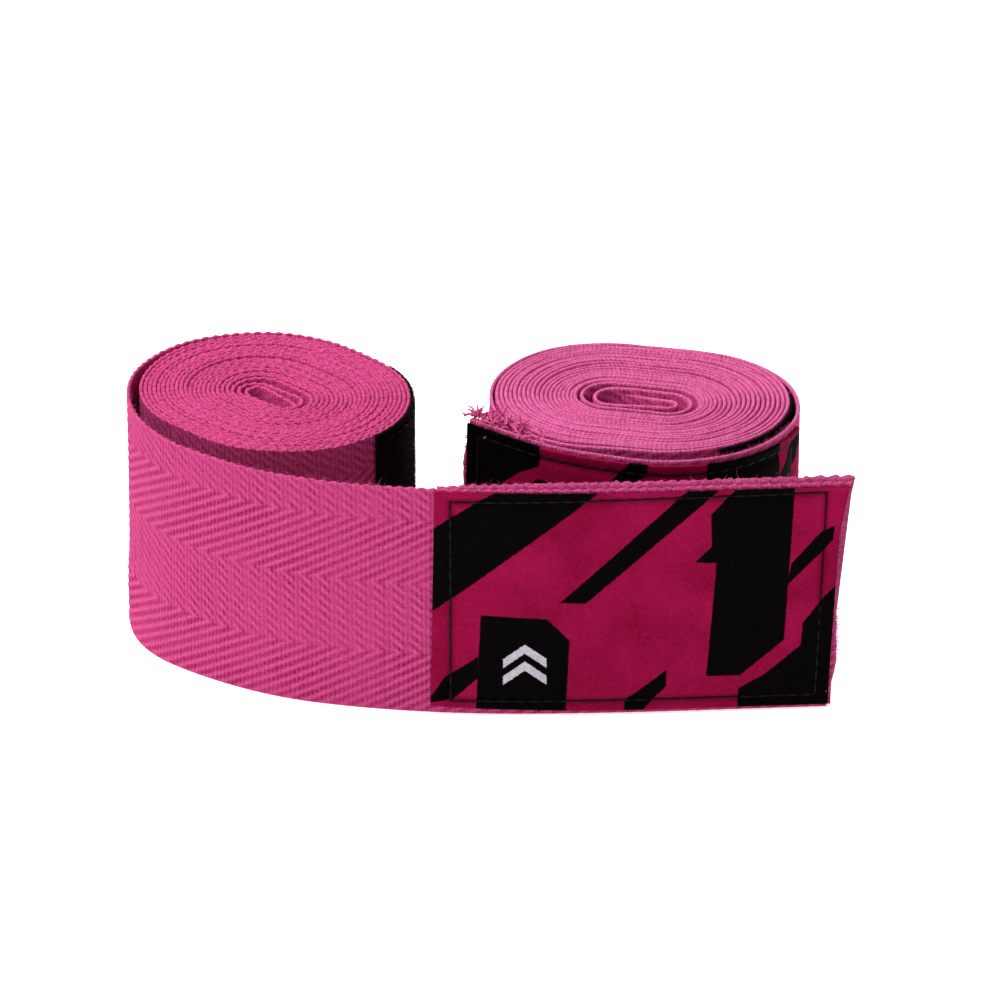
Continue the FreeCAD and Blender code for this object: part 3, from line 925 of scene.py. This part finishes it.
peel_way = closed_wrap.stand(np.array([[closed_hinge - 1, 0, 0], [closed_hinge + 1, 0, 0]]))
peel_way = (peel_way[1] - peel_way[0])[:2]
peel_way /= np.hypot(*peel_way)
closed_tab = ribbed_band(closed_wrap, "closed_wrap_tab", closed_hinge - CLOSED_BEFORE_HINGE,
                         closed_line.length, 100, 70, webbing_closed, bead=FINE_BEAD,
                         shape=cut_askew(closed_wrap, TAPE_CUT))
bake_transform(closed_tab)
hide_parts("closed_wrap_tab_webbing")
print("closed wrap's faces:", closed_outer.name, closed_tab.name)

# %% [markdown]
# ## Labels and their seams
# A label is a thin satin panel sewn down all round. The seam pulls a trench in it, deeper at each needle
# hole, and the free margin outside the seam stands up a little. The stitches are separate threads.

# %% The label's relief
STITCH_PITCH = 3.0
PANEL_BOTTOM = 0.5          # labels and hook patches start this far above the tape's edge
LABEL_BASE = 0.40
LABEL_SKIN = 1.0


def seam_distance(x, y, sides=SEAM_SIDES):
    """Distance in the panel from the line that the seam follows, below 0 inside it."""
    return -np.min([along * x + across * y + start for along, across, start in sides], axis=0)


def label_relief(x, y):
    """How far the label's face rises or sinks from flat."""
    from_seam = seam_distance(x, y)
    along = np.where(np.abs(np.abs(y - 24.5) - 21.8) < 1.8, x, y)
    hole = 0.5 + 0.5 * np.cos(2 * math.pi * along / STITCH_PITCH)
    trench = -(0.34 + 0.08 * hole) * np.exp(-(from_seam / 1.15) ** 2)
    inside = np.clip(-from_seam / 6.0, 0, 1)
    waves = 0.12 * np.sin(x / 5.5 + 0.6 * np.sin(y / 7.0)) * np.sin(y / 9.0 + 1.0) * inside
    margin = 0.06 * np.sin(along * 2 * math.pi / STITCH_PITCH + 1.0) * (from_seam > 0.8)
    return trench + waves + margin


# %% A sewn panel
def sewn_panel(wrap, name, first, length, bottom, height, low, skin, step, rows, relief_of,
               material, end=None, trim=0.0):
    """A thin panel on the outer or inner face: low and skin are its two faces' distances out."""
    middle, half = (low + skin) / 2, abs(skin - low) / 2
    section = section_of(rows, max(6, rows // 6), half, bottom + trim, bottom + height - trim, round_off=0.16)
    piece = flat_band(name, first, first + length, step, section)
    flat = points_of(piece)
    face = flat[:, 1] > 0.9 * half
    flat[face, 1] += relief_of(flat[face, 0] - first, flat[face, 2] - bottom)
    way = 1.0 if skin > low else -1.0
    flat[:, 1] = middle + way * flat[:, 1]
    if end:
        end(flat)
    move_points(piece, flat)
    cloth_map(piece)
    layer = piece.data.uv_layers["tape"]
    uv = np.empty(len(piece.data.loops) * 2)
    layer.data.foreach_get("uv", uv)
    uv = uv.reshape(-1, 2) - [first, bottom]
    layer.data.foreach_set("uv", uv.ravel())
    stand(piece, wrap)
    if way < 0:
        piece.data.flip_normals()
    return dress(piece, material)


# %% Woven labels
for wrap, body in ((open_wrap, "open_tab"), (closed_wrap, "closed_tab")):
    label = sewn_panel(wrap, wrap.name + "_label", wrap.label_start, LABEL_LENGTH, PANEL_BOTTOM,
                       LABEL_HEIGHT, LABEL_BASE, LABEL_SKIN, 0.5, 100, label_relief, satin,
                       end=cut_askew(wrap, LABEL_CUT, -0.9, 0.8), trim=0.35)
    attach(label, body)
    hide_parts(wrap.name + "_woven_label")
    print(label.name, len(label.data.polygons), "faces")

# %% [markdown]
# ## Stitches
# One stitch is a short capsule with a dozen points round and a few along, made once as a cylinder whose
# ends are pulled in. Its copies are laid along the seam in the flat cloth and then stood with it.

# %% One stitch
def one_stitch():
    """Points and faces of one unit stitch: 1 long, 1 thick, lying along x."""
    bpy.ops.object.select_all(action="DESELECT")
    bpy.ops.mesh.primitive_cylinder_add(vertices=6, radius=0.5, depth=1.0)
    thread = bpy.context.object
    edit(thread)
    bpy.ops.mesh.subdivide(number_cuts=1)
    bpy.ops.mesh.normals_make_consistent(inside=False)
    done()
    co = points_of(thread)
    dome = np.where(np.abs(co[:, 2]) > 0.4, 0.45, 1.0)
    co = np.column_stack([co[:, 2], co[:, 0] * dome, co[:, 1] * dome])
    faces = [tuple(p.vertices) for p in thread.data.polygons]
    bpy.data.objects.remove(thread)
    return co, faces


STITCH_POINTS, STITCH_FACES = one_stitch()


# %% Lay a seam
def seam(wrap, name, runs, thick, material):
    """One piece of many stitches. A run is (middle s, out, middle up, length, runs upright)."""
    points, faces = [], []
    for s, out, up, length, upright in runs:
        co = STITCH_POINTS
        bow = out + 0.06 * (1 - (2 * co[:, 0]) ** 2) * (1 if out > 0 else -1)
        across = co[:, 2] * thick
        if upright:
            flat = np.column_stack([s + across, bow + co[:, 1] * thick * 0.7, up + co[:, 0] * length])
        else:
            flat = np.column_stack([s + co[:, 0] * length, bow + co[:, 1] * thick * 0.7, up + across])
        faces += [tuple(v + len(points) * len(co) for v in face) for face in STITCH_FACES]
        points.append(flat)
    mesh = bpy.data.meshes.new(name)
    mesh.from_pydata(np.vstack(points).tolist(), [], faces)
    piece = bpy.data.objects.new(name, mesh)
    scene.collection.objects.link(piece)
    edit(piece)
    bpy.ops.mesh.normals_make_consistent(inside=False)
    done()
    cloth_map(piece)
    stand(piece, wrap)
    return dress(piece, material)


# %% Where the stitches go
STITCH_LENGTH = 2.7
STITCH_SHARE = 0.97         # of its pitch, on the label's seam
BACK_SEAM = -1.66


def box_seam(first, length, bottom, height, inset, out):
    """Stitches round a rectangle, at the stitch pitch."""
    runs = []
    wide, tall = length - 2 * inset, height - 2 * inset
    across, upright = round(wide / STITCH_PITCH), round(tall / STITCH_PITCH)
    for count in range(across):
        s = first + inset + (count + 0.5) * wide / across
        runs += [(s, out, side, STITCH_LENGTH, False) for side in (bottom + inset, bottom + height - inset)]
    for count in range(upright):
        up = bottom + inset + (count + 0.5) * tall / upright
        runs += [(side, out, up, STITCH_LENGTH, True) for side in (first + inset, first + length - inset)]
    return runs


def label_seam_runs(first, bottom, out):
    """Stitches along the four sides of the label's seam, whose corners are where the sides meet."""
    left, right_low, right_high = 3.1, 75.8, 77.3
    low, high_left, high_right = 2.6, 46.73, 47.5
    runs = []
    across, upright = 24, 15
    for count in range(across):
        share = (count + 0.5) / across
        length = (right_low - left) / across * STITCH_SHARE
        runs.append((first + left + share * (right_low - left), out, bottom + low, length, False))
        up = high_left + share * (high_right - high_left)
        runs.append((first + left + share * (right_high - left), out, bottom + up, length, False))
    for count in range(upright):
        share = (count + 0.5) / upright
        length = (high_left - low) / upright * STITCH_SHARE
        runs.append((first + left, out, bottom + low + share * (high_left - low), length, True))
        right = right_low + share * (right_high - right_low)
        runs.append((first + right, out, bottom + low + share * (high_right - low), length, True))
    return runs


# %% Label seams
THREAD = 0.44
for wrap, body in ((open_wrap, "open_tab"), (closed_wrap, "closed_tab")):
    runs = label_seam_runs(wrap.label_start, PANEL_BOTTOM, LABEL_SKIN - 0.34)
    runs += label_seam_runs(wrap.label_start, PANEL_BOTTOM, BACK_SEAM)
    label_seam = seam(wrap, wrap.name + "_label_seam", runs, THREAD, black_thread)
    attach(label_seam, body)
    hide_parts(wrap.name + "_label_stitching")
    print(wrap.name, "label seam:", len(runs), "stitches")

# %% [markdown]
# ## The loop patch
# The back of the tab is a pile that the hooks grip. It is thick and soft, it is a little larger than the
# label, and its brushed edge is what shows above the label as a rounded fuzzy rim.

# %% Loop patches
def lumps(a, b, scale, seed):
    """A smooth uneven field in about -1 to 1, a sum of slanted waves."""
    rng = np.random.default_rng(seed)
    total = np.zeros_like(a)
    for _ in range(9):
        angle, size, start = rng.uniform(0, math.pi), scale * rng.uniform(0.6, 1.6), rng.uniform(0, 6.28)
        along = a * math.cos(angle) + b * math.sin(angle)
        total += np.sin(along * 2 * math.pi / size + start)
    return total / 3.5


def pile_relief(x, y):
    from_seam = seam_distance(x, y)
    return 0.17 * lumps(x, y, 1.1, 5) + 0.10 * lumps(x, y, 3.5, 6) - 0.25 * np.exp(-(from_seam / 0.8) ** 2)


PILE_TOP = 50.6


def rounded_rim(wrap):
    """The rim is lumpy, and low where it starts beside the bare tape."""
    cut = cut_askew(wrap, LABEL_CUT, -0.4)

    def shape(flat):
        s, out, up = flat.T
        height = TAPE_WIDTH - up if wrap.upside_down else up
        from_start = np.clip((s - wrap.label_start) / 26.0, 0, 1)
        near = np.clip((height - 44.0) / 6.0, 0, 1)
        knots = 0.20 * lumps(s, out * 1.5, 1.3, 12) + 0.14 * np.cos(2 * math.pi * s / SCALLOP)
        lift = near * (knots - 1.1 * (1 - from_start) ** 2)
        flat[:, 2] += (-1 if wrap.upside_down else 1) * lift
        cut(flat)
    return shape


for wrap, body in ((open_wrap, "open_tab"), (closed_wrap, "closed_tab")):
    longer, bottom, height, back = 0.4, 0.1, PILE_TOP - 0.1, -1.75
    if wrap is closed_wrap:             # the hooks have pressed its pile flat
        longer, bottom, height, back = -1.6, 0.8, 48.4, -1.05
    patch = sewn_panel(wrap, wrap.name + "_loop_pile", wrap.label_start + 0.3, LABEL_LENGTH + longer,
                       bottom, height, -0.36, back, 0.45, 90, pile_relief, pile,
                       end=rounded_rim(wrap))
    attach(patch, body)
    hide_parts(wrap.name + "_loop_patch")
    print(patch.name, len(patch.data.polygons), "faces")

# %% [markdown]
# ## The hook patch
# A black patch of stiff little hooks, sewn to the outermost wound turn where the tab lands. The hooks are
# one small bent thread copied in rows. They are what makes the patch look matt.

# %% The hook patch's relief
HOOK_LENGTH = 34.0
HOOK_HEIGHT = 49.0
HOOK_TO_LABEL = 158.0
HOOK_BASE, HOOK_SKIN = 0.38, 1.05
HOOK_INSET = 2.2            # from the patch's sides to its seam
HOOK_SEAM_SIDES = [(1, 0, -HOOK_INSET), (-1, 0, HOOK_LENGTH - HOOK_INSET),
                   (0, 1, -HOOK_INSET), (0, -1, HOOK_HEIGHT - HOOK_INSET)]


def hook_relief(x, y):
    from_seam = seam_distance(x, y, HOOK_SEAM_SIDES)
    return 0.05 * lumps(x, y, 1.0, 8) - 0.22 * np.exp(-(from_seam / 0.6) ** 2)


# %% Many short fibres
def strands(name, wrap, roots, tips, bends, radius, material, sides=3):
    """Many fibres in one piece. Each runs root, bend, tip, given in flat millimetres."""
    count = len(roots)
    stops = np.stack([roots, (roots + bends) / 2 + (bends - (roots + tips) / 2) * 0.35, bends, tips], axis=1)
    ways = np.gradient(stops, axis=1)
    ways /= np.linalg.norm(ways, axis=2, keepdims=True) + 1e-9
    helper = np.where(np.abs(ways[..., 2:3]) < 0.9, [[[0.0, 0.0, 1.0]]], [[[1.0, 0.0, 0.0]]])
    side = np.cross(ways, helper)
    side /= np.linalg.norm(side, axis=2, keepdims=True) + 1e-9
    lift = np.cross(ways, side)
    thick = np.asarray(radius) * np.ones(count)
    taper = np.array([1.0, 1.0, 0.85, 0.45])
    rings = []
    for corner in range(sides):
        angle = 2 * math.pi * corner / sides
        reach = thick[:, None, None] * taper[None, :, None]
        rings.append(stops + reach * (math.cos(angle) * side + math.sin(angle) * lift))
    co = np.stack(rings, axis=2).reshape(-1, 3)
    block = []
    for ring in range(3):
        for corner in range(sides):
            after = (corner + 1) % sides
            block.append((ring * sides + corner, ring * sides + after, (ring + 1) * sides + after,
                          (ring + 1) * sides + corner))
    block = np.array(block)
    quads = (block[None] + (np.arange(count) * 4 * sides)[:, None, None]).reshape(-1, 4)
    ends = np.array([list(range(sides)), list(range(3 * sides, 4 * sides))])
    ends = (ends[None] + (np.arange(count) * 4 * sides)[:, None, None]).reshape(-1, sides)
    mesh = bpy.data.meshes.new(name)
    mesh.from_pydata(co.tolist(), [], quads.tolist() + ends.tolist())
    piece = bpy.data.objects.new(name, mesh)
    scene.collection.objects.link(piece)
    edit(piece)
    bpy.ops.mesh.normals_make_consistent(inside=False)
    done()
    cloth_map(piece)
    stand(piece, wrap)
    return dress(piece, material)


# %% Hook patches
HOOK_THREAD = 0.09          # radius of one hook
for wrap, body in ((open_wrap, "open_roll"), (closed_wrap, "closed_roll")):
    last = wrap.label_start - HOOK_TO_LABEL
    first = last - HOOK_LENGTH
    patch = sewn_panel(wrap, wrap.name + "_hook_base", first, HOOK_LENGTH, PANEL_BOTTOM, HOOK_HEIGHT,
                       HOOK_BASE, HOOK_SKIN, 0.5, 90, hook_relief, nap)
    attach(patch, body)
    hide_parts(wrap.name + "_hook_patch")
    rng = np.random.default_rng(21)
    s, up = np.meshgrid(np.arange(first + 0.5, last - 0.3, 0.85), np.arange(1.0, 49.2, 0.8))
    s, up = s.ravel(), up.ravel()
    s = s + rng.normal(0, 0.08, len(s))
    up = up + rng.normal(0, 0.08, len(up))
    roots = np.column_stack([s, np.full(len(s), HOOK_SKIN - 0.15), up])
    bends = roots + np.column_stack([
        rng.normal(0.1, 0.06, len(s)), np.full(len(s), 0.48), rng.normal(0, 0.06, len(s)),
    ])
    tips = roots + np.column_stack([
        rng.normal(0.38, 0.05, len(s)), np.full(len(s), 0.30), rng.normal(0, 0.06, len(s)),
    ])
    hooks = strands(wrap.name + "_hooks", wrap, roots, tips, bends, HOOK_THREAD, nap)
    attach(hooks, body)
    runs = box_seam(first, HOOK_LENGTH, PANEL_BOTTOM, HOOK_HEIGHT, HOOK_INSET, HOOK_SKIN - 0.05)
    hook_seam = seam(wrap, wrap.name + "_hook_seam", runs, THREAD, black_thread)
    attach(hook_seam, body)
    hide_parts(wrap.name + "_hook_patch_stitching")
    print(wrap.name, "hooks:", len(s))

# %% [markdown]
# ## The thumb loop
# At the tape's inner end a narrow tape is folded in half and sewn on: the thumb goes through it. Rolled up,
# it lies flat between the first turns.

# %% Thumb loops
LOOP_FIRST, LOOP_LAST = 2.0, 40.0
for wrap, body in ((open_wrap, "open_roll"), (closed_wrap, "closed_roll")):
    layers = []
    for count, low in enumerate((0.40, 1.09)):
        section = section_of(24, 24, 0.24, 15.0, 35.0, round_off=0.2)
        band = flat_band(f"loop_layer_{count}", LOOP_FIRST, LOOP_LAST, 0.5, section)
        flat = points_of(band)
        twill = 0.03 * np.cos(2 * math.pi * (flat[:, 0] + flat[:, 2]) / 1.4)
        flat[:, 1] = flat[:, 1] * (1 - np.abs(twill)) + low + 0.24
        near_fold = np.clip((flat[:, 0] - (LOOP_LAST - 1.2)) / 1.2, 0, 1) ** 2
        flat[:, 1] += (0.985 - (low + 0.24)) * near_fold * 0.55
        move_points(band, flat)
        cloth_map(band)
        stand(band, wrap)
        layers.append(band)
    loop = dress(join(wrap.name + "_thumb_tape", layers), narrow_cotton)
    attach(loop, body)
    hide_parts(wrap.name + "_thumb_loop")
    runs = [(2.0 + 7.0 * (k + 0.5) / 3, -0.42, up, 2.1, False) for k in range(3) for up in (18.0, 25.0, 32.0)]
    bartack = seam(wrap, wrap.name + "_thumb_seam", runs, 0.32, pink_thread)
    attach(bartack, body)
    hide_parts(wrap.name + "_thumb_loop_bartack")
    print(loop.name, "and its bartack of", len(runs), "stitches")

# %% [markdown]
# ## Fluff and cut ends
# Cotton sheds: short fibres stand up along every edge, thickest on the brushed rim behind the label. A cut
# end frays into loose yarns. Both are fibres and yarns scattered with a fixed seed, so each run is alike.

# %% Fluff along the edges
FLUFF_RADIUS = 0.026


def edge_fluff(wrap, name, body, count, first, last, outs, length, seed, share_low=0.0):
    """Short fibres along the upper edge, and a share of them along the lower one, kept off the floor."""
    rng = np.random.default_rng(seed)
    s = rng.uniform(first, last, count)
    upper = rng.uniform(0, 1, count) >= share_low
    out = rng.uniform(*outs, count)
    reach = rng.gamma(2.0, length / 2.0, count)
    reach = np.where(upper, reach, np.minimum(reach, 0.3))
    lean = rng.normal(0, 0.6, (count, 2)) * reach[:, None]
    height = np.where(upper, TAPE_WIDTH - 0.30, 0.30)
    rise = np.where(upper, 1.0, -1.0) * reach
    if wrap.upside_down:
        height, rise = TAPE_WIDTH - height, -rise
    roots = np.column_stack([s, out, height])
    tips = roots + np.column_stack([lean[:, 0], lean[:, 1], rise])
    bends = (roots + tips) / 2 + rng.normal(0, 0.3, (count, 3)) * reach[:, None]
    fluffy = strands(name, wrap, roots, tips, bends, FLUFF_RADIUS, fluff)
    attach(fluffy, body)


# %% Fluff on both wraps
TAPE_OUT = (-0.36, 0.36)    # across the tape alone
TAB_OUT = (-1.70, 0.38)     # across the tape and the thick pile behind it
edge_fluff(open_wrap, "open_wrap_turn_fluff", "open_roll", 5200,
           open_split * 0.02, open_hinge - 4.0, TAPE_OUT, 0.42, 1)
edge_fluff(open_wrap, "open_wrap_tail_fluff", "open_tail", 700,
           open_hinge + 10.0, open_fold - TAB_OVERLAP, TAPE_OUT, 0.42, 2, share_low=0.3)
edge_fluff(open_wrap, "open_wrap_tab_fluff", "open_tab", 2600,
           open_fold + 6.0, open_line.length - 2.0, TAB_OUT, 0.40, 3, share_low=0.2)
edge_fluff(closed_wrap, "closed_wrap_turn_fluff", "closed_roll", 6500,
           closed_split * 0.02, closed_hinge - 4.0, TAPE_OUT, 0.36, 4)
edge_fluff(closed_wrap, "closed_wrap_tab_fluff", "closed_tab", 1500,
           closed_hinge + 4.0, closed_line.length - 2.0, TAPE_OUT, 0.36, 5, share_low=0.15)
print("fluff laid on both wraps")

# %% [markdown]
# ## Frayed yarns
# A cut end lets its yarns go. They curl, cross and lie over one another, which a bundle of thin curves does
# well: each is a row of points that wanders, given thickness, and turned to mesh.

# %% Frayed ends
def loose_yarns(wrap, name, body, starts, ways, lengths, radius, curl, seed, material):
    """Yarns that start at flat points, set off in given ways and wander. One mesh piece."""
    rng = np.random.default_rng(seed)
    stops = 11
    line = bpy.data.curves.new(name, "CURVE")
    line.dimensions = "3D"
    line.bevel_depth = 1.0
    line.bevel_resolution = 1
    for start, way, length in zip(starts, ways, lengths):
        point, way = np.array(start, float), np.array(way, float)
        drift = rng.normal(0, curl, 3)
        spline = line.splines.new("POLY")
        spline.points.add(stops - 1)
        for count in range(stops):
            spline.points[count].co = (*point, 1.0)
            taper = 1 - 0.5 * (count / (stops - 1)) ** 3
            spline.points[count].radius = radius * rng.uniform(0.8, 1.15) * taper
            drift = 0.75 * drift + rng.normal(0, curl, 3) * 0.6
            way = way + drift
            way /= np.linalg.norm(way)
            point = point + way * length / (stops - 1)
    bundle = bpy.data.objects.new(name, line)
    scene.collection.objects.link(bundle)
    bpy.ops.object.select_all(action="DESELECT")
    bundle.select_set(True)
    bpy.context.view_layer.objects.active = bundle
    bundle.data.use_fill_caps = True
    bpy.ops.object.convert(target="MESH")
    piece = bpy.context.object
    piece.name = piece.data.name = name
    edit(piece)
    bpy.ops.mesh.remove_doubles(threshold=0.0001)
    bpy.ops.mesh.normals_make_consistent(inside=False)
    done()
    cloth_map(piece)
    stand(piece, wrap)
    dress(piece, material)
    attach(piece, body)


# %% The closed wrap's cut end
# The closed wrap's cut end: a tangle along its upper edge, lying back over the turns behind it.
rng = np.random.default_rng(77)
count = 90
end_s = closed_line.length - 1.6
starts = np.column_stack([
    end_s - rng.gamma(1.8, 4.2, count).clip(0, 19.0),
    rng.uniform(-2.6, 0.1, count),
    rng.uniform(-0.3, 1.6, count),
])
ways = np.column_stack([
    rng.uniform(-1.0, 0.45, count), rng.normal(-0.45, 0.35, count), rng.normal(-0.12, 0.22, count),
])
loose_yarns(closed_wrap, "closed_wrap_frayed_yarns", "closed_tab", starts, ways,
            rng.uniform(1.8, 4.6, count), 0.25, 0.34, 78, fluff)
count = 70
starts = np.column_stack([
    np.full(count, end_s - 0.9), rng.uniform(-0.5, 0.4, count), rng.uniform(0.6, 47.0, count),
])
ways = np.column_stack([np.ones(count), rng.normal(0, 0.2, count), rng.normal(0, 0.25, count)])
loose_yarns(closed_wrap, "closed_wrap_end_fringe", "closed_tab", starts, ways,
            rng.uniform(0.8, 1.8, count), 0.15, 0.15, 79, fluff)

# %% The open wrap's cut end
# The open wrap's cut end: a short fuzzy fringe in its lower half.
count = 330
up = rng.beta(1.5, 1.7, count) * 26.0 + 2.0
first = open_wrap.label_start + 81.0 + np.interp(up, CUT_HEIGHTS, TAPE_CUT) - 0.9
starts = np.column_stack([first, rng.uniform(-1.5, 0.3, count), up])
ways = np.column_stack([np.ones(count), rng.normal(0.0, 0.45, count), rng.normal(0, 0.7, count)])
loose_yarns(open_wrap, "open_wrap_end_fringe", "open_tab", starts, ways,
            rng.uniform(0.7, 1.9, count), 0.11, 0.40, 80, fluff)
print("frayed yarns made")

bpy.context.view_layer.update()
triangles = {
    piece.name: sum(len(face.vertices) - 2 for face in piece.data.polygons)
    for piece in scene.objects if piece.type == "MESH" and not piece.hide_render
}
print("triangles:", sum(triangles.values()))
print("most in one piece:", max(triangles.items(), key=lambda item: item[1]))
